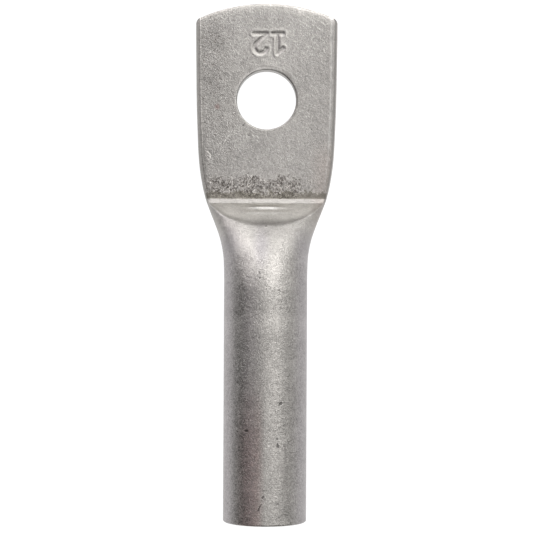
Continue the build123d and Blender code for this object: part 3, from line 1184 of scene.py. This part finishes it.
@dataclass(frozen=True)
class TumbledAluminium:
    """Dull grey aluminium: tumbled grain, pits by the step, burnished die faces and handling marks, with
    painted highlights and painted shade on the shoulder, the barrel, the palm's edges and the hole's rim.

    In the steps of its masks, places are in millimetres and a noise is between 0 and 1.
    """

    colour: tuple = (0.35, 0.3345, 0.316, 1.0)
    stain: tuple = (0.2, 0.181, 0.163, 1.0)
    # dark olive for the band on the palm in front of the step
    dark_olive: tuple = (0.178, 0.164, 0.138, 1.0)
    warm: tuple = (0.385, 0.345, 0.318, 1.0)
    brown: tuple = (0.29, 0.233, 0.218, 1.0)
    # brighter metal: burnished faces and bore, and painted highlights on the palm's lip and the hole's rolled
    # edge
    burnished: tuple = (0.655, 0.64, 0.612, 1.0)
    lilac: tuple = (0.352, 0.333, 0.337, 1.0)
    roughness: float = 0.39
    drift: float = 0.7
    left_pits: Patch = Patch(-9.7, -19.0, 5.4, 4.4)
    middle_pits: Patch = Patch(-3.1, -18.9, 4.6, 4.6, 1.5)
    right_pits: Patch = Patch(3.9, -18.9, 5.4, 4.6, 1.4)
    tip_scuff: Patch = Patch(-11.4, 13.4, 4.2, 6.0, 1.4)
    side_scuff: Patch = Patch(-11.8, 3.5, 4.0, 6.0)
    # painted highlight on the shoulder, left of its middle
    lobe_highlight: Patch = Patch(-4.4, -31.5, 4.8, 6.6, 0.28, 14.0)
    shade: Patch = Patch(0.9, -28.4, 8.6, 3.8, 0.2, 12.0)
    # painted shade patch down the middle of the shoulder, also tinted lilac
    cool_shade: Patch = Patch(-0.9, -32.4, 2.6, 7.0, 1.0, 14.0)
    # painted highlight on the top of the barrel where the shoulder ends
    crown_highlight: Patch = Patch(0.0, -43.0, 3.6, 10.0, 0.09, 16.0)
    # painted highlights on the right of the shoulder and on the barrel's top
    side_highlight: Patch = Patch(4.3, -31.9, 3.8, 5.6, 0.12, 12.0)
    top_highlight: Patch = Patch(-1.0, -41.4, 5.4, 4.6, 0.2, 16.0)
    rust: Patch = Patch(-10.8, -1.6, 0.9, 0.9, 1.4)
    arc_centre: tuple = (0.0, -15.0, 4.0)
    arc_fades: tuple = (33.2, 36.2)
    past_step: tuple = (-21.9, -21.6)
    upper_half: tuple = (9.0, 12.0)
    marks: tuple = (
        Mark(-12.62, -11.76, 1.2, 0.17, -41.0, 2.1), Mark(-12.3, -12.5, 0.5, 0.135, -60.0, 1.62),
        Mark(-8.9, -8.9, 1.6, 0.135, 62.0, 1.31), Mark(-10.2, -9.7, 0.9, 0.135, 40.0, 1.31),
        Mark(-5.05, -5.6, 0.5, 0.135, 44.0, 0.44), Mark(-12.3, 10.4, 0.28, 0.26, 0.0, 1.45),
        Mark(-11.9, 14.4, 0.24, 0.22, 0.0, 1.35), Mark(-6.35, 10.15, 1.1, 0.095, -58.0, 1.38),
        Mark(-9.0, 3.6, 0.35, 0.25, 20.0, 1.12), Mark(-3.9, -7.9, 0.22, 0.2, 0.0, 0.5, -0.04),
        Mark(9.9, -6.5, 0.25, 0.2, 0.0, 0.6, -0.04), Mark(9.2, -2.2, 0.22, 0.2, 0.0, 0.65),
        Mark(-3.9, -16.3, 0.25, 0.2, 0.0, 0.45, -0.04), Mark(8.6, 16.6, 1.4, 0.135, -28.0, 1.38),
        Mark(11.6, 15.5, 1.2, 0.135, -35.0, 1.44), Mark(13.2, 16.6, 0.9, 0.162, 10.0, 1.38),
        Mark(10.1, 13.6, 0.8, 0.108, 55.0, 1.31), Mark(6.2, 12.8, 0.7, 0.095, -20.0, 1.25),
        Mark(-7.4, -17.2, 0.156, 3.6, 3.0, 1.16), Mark(-8.15, -20.3, 0.13, 1.1, 2.0, 1.5),
        Mark(0.43, -20.4, 0.13, 1.0, -3.0, 1.4), Mark(1.2, -19.6, 0.143, 1.6, -8.0, 1.22),
        Mark(3.0, -19.0, 0.13, 1.3, 24.0, 1.2), Mark(0.9, -18.0, 0.6, 0.135, 62.0, 1.25),
        Mark(0.15, -27.9, 0.3, 0.22, 0.0, 0.62, -0.04), Mark(-1.9, -34.1, 0.5, 1.3, 8.0, 1.16),
        Mark(-1.36, -37.9, 0.182, 0.45, 12.0, 0.45, -0.05),
        Mark(-1.25, -39.0, 0.182, 0.3, -25.0, 0.45, -0.05), Mark(2.9, -41.6, 0.2, 0.25, 0.0, 0.6, -0.04),
        Mark(-3.9, -71.5, 0.55, 0.32, -35.0, 0.36, -0.06), Mark(3.25, -65.6, 0.34, 0.6, -25.0, 0.38, -0.06),
        Mark(4.0, -65.4, 0.6, 0.13, 8.0, 0.7), Mark(2.8, -74.5, 0.32, 0.72, 8.0, 0.38, -0.06),
        Mark(2.55, -72.9, 0.26, 0.34, 0.0, 0.5), Mark(4.5, -73.2, 1.3, 0.13, 35.0, 1.4),
        Mark(-2.2, -76.8, 0.3, 0.24, 0.0, 0.62), Mark(2.75, -86.8, 0.24, 0.26, 0.0, 0.6),
        Mark(-1.15, -87.7, 0.24, 1.15, -27.0, 0.46, -0.05),
        Mark(-0.4, -85.3, 0.25, 0.55, -35.0, 0.46, -0.05), Mark(-0.1, -83.9, 1.0, 0.15, 2.0, 0.58),
        Mark(0.8, -74.4, 0.3, 0.3, 0.0, 1.6), Mark(-4.8, -89.9, 0.3, 0.2, 0.0, 0.6),
        Mark(-6.3, -71.7, 0.9, 0.135, 60.0, 1.25), Mark(-6.6, -72.5, 0.8, 0.13, 50.0, 0.72),
        Mark(-6.0, -72.3, 0.7, 0.13, -50.0, 0.75),
    )

    def material(self) -> bpy.types.Material:
        """Builds the finish, with its painted highlights and painted shade, as a node material."""
        material = bpy.data.materials.new("tumbled_aluminium")
        material.use_nodes = True
        graph = Graph(material.node_tree)
        place = graph.signal("ShaderNodeTexCoord", output="Object").stretched((1.0 / MILLIMETRE,) * 3)
        axes = graph.node("ShaderNodeSeparateXYZ", sockets={0: place})
        x, y, z = (Signal(graph, output) for output in axes.outputs)
        # the first holds the burnished face with painted highlights, the second holds painted shade
        pressed, grime, sheared, inside = (
            graph.signal("ShaderNodeAttribute", {"attribute_name": name}, output="Fac")
            for name in ("pressed", "grime", "sheared", "inside")
        )
        drift_x, drift_y = place.noise(0.9, 3.0), place.noise(0.77, 3.0)
        shifted = {"X": x + drift_x.swing(self.drift), "Y": y + drift_y.swing(self.drift), "Z": z}
        wobbled = graph.signal("ShaderNodeCombineXYZ", sockets=shifted)
        fine, medium = place.noise(3.9, 2.0), place.noise(1.7, 3.0)
        broad, patch = place.noise(0.55, 3.0), place.noise(0.16, 2.0)
        flecks = place.stretched((1.0, 0.8, 1.0)).noise(2.6, 3.0, 0.7)
        drawn = place.stretched((2.6, 0.09, 2.6)).noise(1.0, 3.0)
        torn = place.stretched((2.4, 2.4, 0.35)).noise(1.0, 3.0)
        hairs = abs(wobbled.noise(1.0, 2.0, 0.6) - 0.5).step(0.026, 0.004)
        curls = abs(wobbled.noise(1.5, 2.0, 0.65) - 0.5).step(0.042, 0.01)

        front = z.step(3.2, 3.8)
        clusters = self.middle_pits.mask(place) + self.right_pits.mask(place) + self.left_pits.mask(place)
        ragged = (y + broad * 6.0 + medium * 2.4).step(-11.4, -14.2) * y.step(*self.past_step)
        pitted = front * ragged * (clusters + broad * 0.9 - 0.25).step(0.0, 1.0)
        # a darker, rougher band on the palm in front of the step
        dark_band_at_step = front * (y + medium * 3.2 + broad * 1.8).step(-17.5, -18.0) * y.step(*self.past_step)
        left = front * (x + broad * 6.0).step(1.0, -8.5) * y.step(-21.0, -12.0)
        pits, specks, glints = flecks.step(0.5, 0.6), flecks.step(0.59, 0.69), flecks.step(0.37, 0.28)
        barrel = y.step(-31.0, -36.0)
        low = y.step(-36.0, -60.0) * x.step(2.0, -4.0)
        scuffed = self.tip_scuff.mask(wobbled) + self.side_scuff.mask(wobbled)
        speckled = specks * (0.42 + left * 0.2 + low * 0.5 + barrel * 0.25)
        speckled = speckled + flecks.step(0.52, 0.62) * (left * 0.3 + scuffed * 0.5)
        stained = (y + broad * 8.0).step(-52.0, -72.0) * x.step(0.3, -1.8)
        stained = stained * x.step(-6.8, -3.9) * z.step(*self.upper_half)
        folds = z.step(3.85, 3.3) * y.step(-26.0, -22.0)
        # painted dark reflection streak down the left of the barrel, where the grain is also stronger
        left_dark_reflection = y.step(-32.0, -42.0) * x.step(-2.0, -5.5) * x.step(-7.9, -6.0) * z.step(*self.upper_half)
        # painted highlight on the outer sides of the shoulder
        outer_shoulder_highlight = (abs(x) + y * 0.4).step(-5.0, -2.4) * y.step(-24.0, -25.5)
        outer_shoulder_highlight = outer_shoulder_highlight * y.step(-33.0, -28.5) * z.step(5.5, 8.0)
        # painted shade patch down the middle of the shoulder, also tinted lilac
        cool_shade = self.cool_shade.mask(wobbled)

        grain = 0.66 + left * 0.34 + barrel * 0.26 + left_dark_reflection * 0.35 - pressed * 0.15
        tone = fine.swing(0.62 + barrel * 0.85) + medium.swing(0.62 + barrel * 0.15)
        tone = 1.0 + tone * grain + broad.swing(0.4) + patch.swing(0.26)
        fold_shade = 0.2 + x.step(12.0, 14.0) * (0.26 - z.step(3.5, 2.7) * 0.58)
        tone = tone * (1.0 - left * 0.1 - folds * fold_shade - left_dark_reflection * 0.17)
        tone = tone * (1.0 - front * (y.step(11.0, 5.0) * 0.05 + x.step(3.0, 8.5) * y.step(14.0, 8.0) * 0.05))
        sheared_edge = wobbled.distance(self.arc_centre).step(*self.arc_fades)
        tone = tone * (1.0 - scuffed * 0.1 - x.step(9.5, 12.5) * front * 0.07 + sheared_edge * front * 0.3)
        # painted highlights and painted shade on the shoulder
        shoulder = self.lobe_highlight.mask(wobbled) - self.shade.mask(wobbled) + outer_shoulder_highlight * 0.15 - cool_shade * 0.1
        tone = tone * (1.0 + drawn.swing(0.14) + shoulder)
        # brighter: painted glints, bright scratches and curls, and a painted highlight on top of the barrel
        bright = glints * 0.2 + hairs * front * 0.16 + curls * pitted * 1.3 + self.crown_highlight.mask(place)
        tone = tone * (1.0 + bright)
        tone = tone * (1.0 - pits * pitted * 0.34)
        tone = tone * (1.0 - y.step(-21.6, -21.8) * y.step(-22.8, -22.6) * 0.07)
        # darker where painted shade lies, with some noise
        tone = tone * (1.0 - grime * (0.06 + medium * 0.3))
        # painted highlights on the shoulder's right and the barrel's top; the barrel further back is darker
        glow = self.side_highlight.mask(wobbled) + self.top_highlight.mask(place)
        tone = tone * (1.0 + glow - y.step(-43.0, -53.0) * 0.22)
        height = (fine.swing(0.07) + medium.swing(0.08)) * grain * (1.0 - barrel * 0.33) + broad.swing(0.05)
        height = height - pits * pitted * 0.08 + curls * pitted * 0.05
        height = height + hairs * front * 0.012 - speckled * 0.03
        height = height * (1.0 - pressed * 0.75)
        for mark in self.marks:
            mask = mark.mask(wobbled)
            tone = tone * (1.0 + mask * (mark.tone - 1.0))
            if mark.depth:
                height = height + mask * mark.depth
        height = height + sheared * torn.swing(0.12) + inside * drawn.swing(0.05)

        # burnished colour on the die face, and as painted highlights on the lip and the hole's rolled edge
        colour = (pressed * 0.9).mix(self.colour, self.burnished)
        colour = (front * x.step(8.5, 12.5) * y.step(-8.0, -14.0) * 0.6).mix(colour, self.warm)
        # lilac tint on the sides of the shoulder, and on the painted shade patch down its middle
        colour = (abs(x).step(5.0, 8.2) * y.step(-27.0, -33.0) * 0.9 + cool_shade * 0.9).mix(colour, self.lilac)
        colour = (pitted * (0.3 + pits * 0.75)).mix(colour, self.stain)
        # darker olive band in front of the step
        colour = (dark_band_at_step * (1.1 - broad * 0.6)).mix(colour, self.dark_olive)
        colour = (stained * (0.25 + medium) + self.rust.mask(wobbled)).mix(colour, self.brown)
        colour = (speckled * 0.65).mix(colour, self.stain)
        colour = (inside * 0.8).mix(colour, self.burnished)
        colour = graph.signal("ShaderNodeVectorMath", {"operation": "SCALE"}, {0: colour, "Scale": tone})
        dull = fine.swing(0.16) + broad.swing(0.12) + pitted * 0.06 + dark_band_at_step * 0.12
        sockets = {"Strength": 1.0, "Distance": MILLIMETRE, "Height": height}
        bump = graph.signal("ShaderNodeBump", sockets=sockets)
        graph.surface("ShaderNodeBsdfPrincipled", {
            "Base Color": colour,
            "Metallic": 1.0,
            "Roughness": self.roughness + dull - pressed * 0.05,
            "Normal": bump,
        })
        return material


@dataclass(frozen=True)
class Softbox:
    """One soft light: a rectangular panel a metre away that faces the lug.

    The tilt is from straight overhead and the turn is from +X towards +Y, both in degrees. The size is
    in metres.
    """

    name: str
    tilt: float
    turn: float
    width: float
    height: float
    radiance: float
    tint: tuple = (1.0, 1.0, 1.0)
    distance: float = 1.0

    def build(self, target: Vector) -> None:
        """Hangs the light and turns it to the target."""
        light = bpy.data.lights.new(self.name, "AREA")
        light.shape = "RECTANGLE"
        light.size, light.size_y = self.width, self.height
        light.energy = self.radiance * math.pi * self.width * self.height
        light.color = self.tint
        panel = placed(self.name, light)
        tilt, turn = math.radians(self.tilt), math.radians(self.turn)
        sideways = math.sin(tilt)
        direction = Vector((sideways * math.cos(turn), sideways * math.sin(turn), math.cos(tilt)))
        panel.location = target + direction * self.distance
        panel.rotation_euler = direction.to_track_quat("Z", "Y").to_euler()
        panel.visible_camera = False


@dataclass(frozen=True)
class Studio:
    """A white table, softboxes that are brightest beyond the tip, and a dim room round them."""

    target: Vector
    floor_half_width: float = 6.0
    room_radiance: float = 0.08
    floor_glow: float = 1.0
    softboxes: tuple = (
        Softbox("overhead", 8.0, 60.0, 0.5, 0.4, 1.21),
        Softbox("overhead_left", 22.0, 185.0, 0.3, 0.5, 0.3, (1.03, 0.98, 1.06)),
        Softbox("overhead_right", 24.0, 10.0, 0.35, 0.5, 1.8),
        Softbox("key", 42.0, 50.0, 0.45, 0.5, 4.9),
        Softbox("right", 42.0, 0.0, 0.5, 0.3, 2.5),
        Softbox("right_low", 72.0, 20.0, 1.2, 0.4, 1.25),
        Softbox("back_high", 40.0, 90.0, 0.8, 0.3, 1.24),
        Softbox("back", 58.0, 90.0, 0.9, 0.3, 3.8),
        Softbox("back_low", 76.0, 90.0, 1.2, 0.3, 2.0),
        Softbox("left_back", 48.0, 135.0, 0.6, 0.5, 1.54, (1.02, 0.99, 1.03)),
        Softbox("left_back_low", 72.0, 135.0, 0.8, 0.4, 1.78, (1.02, 0.99, 1.03)),
        Softbox("left", 45.0, 180.0, 0.5, 0.3, 1.01, (1.03, 0.98, 1.06)),
        Softbox("front", 25.0, 270.0, 0.8, 0.4, 1.67),
    )

    def build_world(self) -> None:
        """Gives the room a dim, even light."""
        world = bpy.data.worlds.new("studio_room")
        bpy.context.scene.world = world
        world.use_nodes = True
        graph = Graph(world.node_tree)
        sockets = {"Color": (1.0, 1.0, 1.0, 1.0), "Strength": self.room_radiance}
        graph.surface("ShaderNodeBackground", sockets, "ShaderNodeOutputWorld")

    def build_floor(self) -> None:
        """Lays the white table that the lug rests on."""
        half = self.floor_half_width
        mesh = bpy.data.meshes.new("white_table")
        corners = [(-half, -half, 0.0), (half, -half, 0.0), (half, half, 0.0), (-half, half, 0.0)]
        mesh.from_pydata(corners, [], [(0, 1, 2, 3)])
        floor = placed("white_table", mesh)
        material = bpy.data.materials.new("white_table")
        material.use_nodes = True
        Graph(material.node_tree).surface("ShaderNodeBsdfPrincipled", {
            "Base Color": (0.1, 0.1, 0.1, 1.0),
            "Roughness": 1.0,
            "Specular IOR Level": 0.0,
            "Emission Color": (1.0, 1.0, 1.0, 1.0),
            "Emission Strength": self.floor_glow,
        })
        mesh.materials.append(material)

    def build(self) -> None:
        """Builds the whole studio."""
        self.build_world()
        self.build_floor()
        for softbox in self.softboxes:
            softbox.build(self.target)


@dataclass(frozen=True)
class PhotoCamera:
    """The camera straight above the lug, as far away as the bow of the barrel's mouth says."""

    x: float = 0.0005
    y: float = -0.0369
    z: float = 0.392
    turn: float = 0.0047
    lens: float = 118.95
    sensor: float = 36.0

    def build(self) -> None:
        """Makes the camera and hands it to the scene."""
        data = bpy.data.cameras.new("photo_camera")
        data.lens = self.lens
        data.sensor_width = self.sensor
        data.clip_start, data.clip_end = 0.01, 20.0
        camera = placed("photo_camera", data)
        camera.location = (self.x, self.y, self.z)
        camera.rotation_euler = (0.0, 0.0, self.turn)
        bpy.context.scene.camera = camera


def main() -> None:
    """Builds the lug and its studio in order, and reports each piece."""
    logging.basicConfig(level=logging.INFO, format="%(message)s")
    bpy.context.scene.view_settings.view_transform = "Standard"
    sizes = LugSizes.from_frame(frame["record"], *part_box("cable_lug"))
    body = LugBody(sizes)
    lug = body.build()
    lug.data.materials.append(TumbledAluminium().material())
    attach(lug, "root")
    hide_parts("cable_lug")
    triangles = sum(len(face.vertices) - 2 for face in lug.data.polygons)
    LOG.info("%s: %d triangles", lug.name, triangles)
    target = (cad_box[0] + cad_box[1]) / 2.0
    Studio(target).build()
    PhotoCamera().build()
    LOG.info("studio and camera are in place")


if __name__ == "__main__":
    main()
